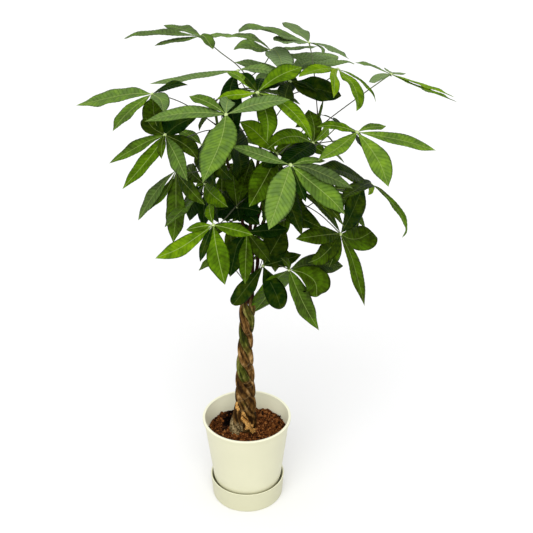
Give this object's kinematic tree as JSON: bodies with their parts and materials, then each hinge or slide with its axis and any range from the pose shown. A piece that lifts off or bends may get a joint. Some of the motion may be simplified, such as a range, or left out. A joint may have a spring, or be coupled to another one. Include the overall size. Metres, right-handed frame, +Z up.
{
  "type": "potted money tree",
  "caption": "Money tree with a braided trunk and an open crown of palmate leaves, standing in a round cream plastic pot on a matching saucer.",
  "frame": {"origin": "on the pot's axis, in the plane of the saucer's underside, which is the surface that it stands on", "axes": "+Z up along the trunk, +X to the viewer's right, +Y away from the viewer, so the front faces -Y"},
  "size_m": [0.871, 0.7339, 1.3411],
  "materials": {
    "pot_plastic": "satin cream moulded plastic",
    "bark": "rough green and tan bark with scars, brown shoots",
    "leaf": "leathery green leaf with pale veins and a soft sheen",
    "soil": "coarse crumbly red-brown potting soil"
  },
  "bodies": {
    "root": {"saucer": "pot_plastic", "pot": "pot_plastic", "soil": "soil", "stem_1": "bark", "stem_2": "bark", "stem_3": "bark", "leaf_01": "leaf", "leaf_02": "leaf", "leaf_03": "leaf", "leaf_04": "leaf", "leaf_05": "leaf", "leaf_06": "leaf", "leaf_07": "leaf", "leaf_08": "leaf", "leaf_09": "leaf", "leaf_10": "leaf", "leaf_11": "leaf", "leaf_12": "leaf", "leaf_13": "leaf", "leaf_14": "leaf", "leaf_15": "leaf", "leaf_16": "leaf", "leaf_17": "leaf", "leaf_18": "leaf", "leaf_19": "leaf", "leaf_20": "leaf", "leaf_21": "leaf", "leaf_22": "leaf", "leaf_23": "leaf", "leaf_24": "leaf", "leaf_25": "leaf", "leaf_26": "leaf", "leaf_27": "leaf", "leaf_28": "leaf", "leaf_29": "leaf", "leaf_30": "leaf", "leaf_31": "leaf", "leaf_32": "leaf", "leaf_33": "leaf", "leaf_34": "leaf", "leaf_35": "leaf", "leaf_36": "leaf", "leaf_37": "leaf", "leaf_38": "leaf", "leaf_39": "leaf", "leaf_40": "leaf", "leaf_41": "leaf", "leaf_42": "leaf", "leaf_43": "leaf", "leaf_44": "leaf", "leaf_45": "leaf"}
  },
  "joints": []
}
